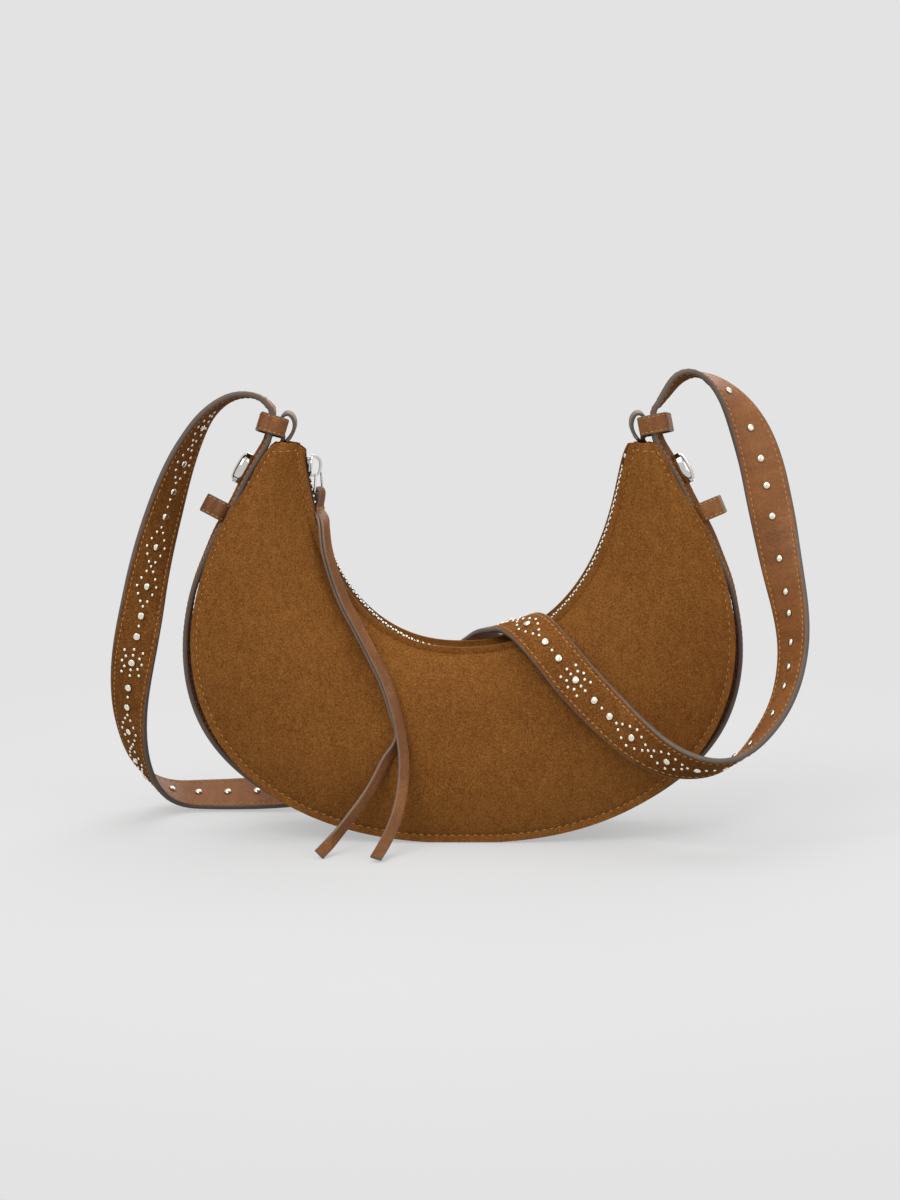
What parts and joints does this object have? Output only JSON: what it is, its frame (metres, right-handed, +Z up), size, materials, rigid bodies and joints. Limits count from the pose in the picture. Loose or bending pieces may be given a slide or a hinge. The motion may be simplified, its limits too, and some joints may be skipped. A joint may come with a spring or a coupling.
{
  "type": "shoulder bag",
  "caption": "Crescent suede shoulder bag with a curved zip across its mouth, a long thong on the zip pull, and a studded strap that runs under the bag and loops loosely round it.",
  "frame": {"origin": "on the ground, in the middle of the flat underside of the belt below the bag", "axes": "+X to the right along the bag as seen from its front, +Y away from the viewer towards the back panel, +Z up"},
  "size_m": [0.3823, 0.1457, 0.2592],
  "materials": {
    "panel_suede": "soft napped suede",
    "gusset_suede": "soft napped suede",
    "lining_cloth": "woven cotton lining",
    "smooth_leather": "smooth, lightly grained",
    "zip_tape": "woven tape",
    "zip_metal": "pale polished teeth",
    "polished_metal": "polished nickel plate",
    "thong_leather": "smooth with dark painted edges",
    "strap_suede": "soft napped suede with crystals and studs",
    "strap_lining": "soft creased smooth leather",
    "loop_leather": "painted cut edges"
  },
  "bodies": {
    "bag": {"front_panel": "panel_suede", "back_panel": "panel_suede", "outer_gusset": "gusset_suede", "lining_front": "lining_cloth", "lining_back": "lining_cloth", "lining_gusset": "lining_cloth", "mouth_facing_front": "smooth_leather", "mouth_facing_back": "smooth_leather", "zip_tape_front": "zip_tape", "zip_tape_back": "zip_tape", "zip_teeth_front": "zip_metal", "zip_teeth_back": "zip_metal", "zip_end_stop": "polished_metal", "belt_face": "strap_suede", "belt_lining": "strap_lining", "shoulder_strap_face": "strap_suede", "shoulder_strap_lining": "strap_lining", "oval_stud_left": "polished_metal", "oval_stud_right": "polished_metal", "stud_back_left": "polished_metal", "stud_back_right": "polished_metal", "top_keeper_left": "smooth_leather", "top_keeper_right": "smooth_leather", "side_keeper_left": "smooth_leather", "side_keeper_right": "smooth_leather", "tip_loop_left": "loop_leather", "tip_loop_right": "loop_leather"},
    "slider": {"zip_slider": "polished_metal", "puller_thong": "thong_leather"},
    "link": {"puller_link": "polished_metal"}
  },
  "joints": [
    {"name": "zip_slide", "type": "hinge", "parent": "bag", "child": "slider", "pos_m": [0, 0, 0.1885], "axis": [0, -1, 0], "range_deg": [0, 94], "deforming": ["puller_thong", "zip_teeth_front", "zip_teeth_back", "zip_tape_front", "zip_tape_back"]},
    {"name": "link_swing", "type": "hinge", "parent": "slider", "child": "link", "pos_m": [-0.07895, 0, 0.2037], "axis": [-0.4384, -0.8988, 0], "range_deg": [0, 75], "deforming": ["puller_thong"]}
  ]
}
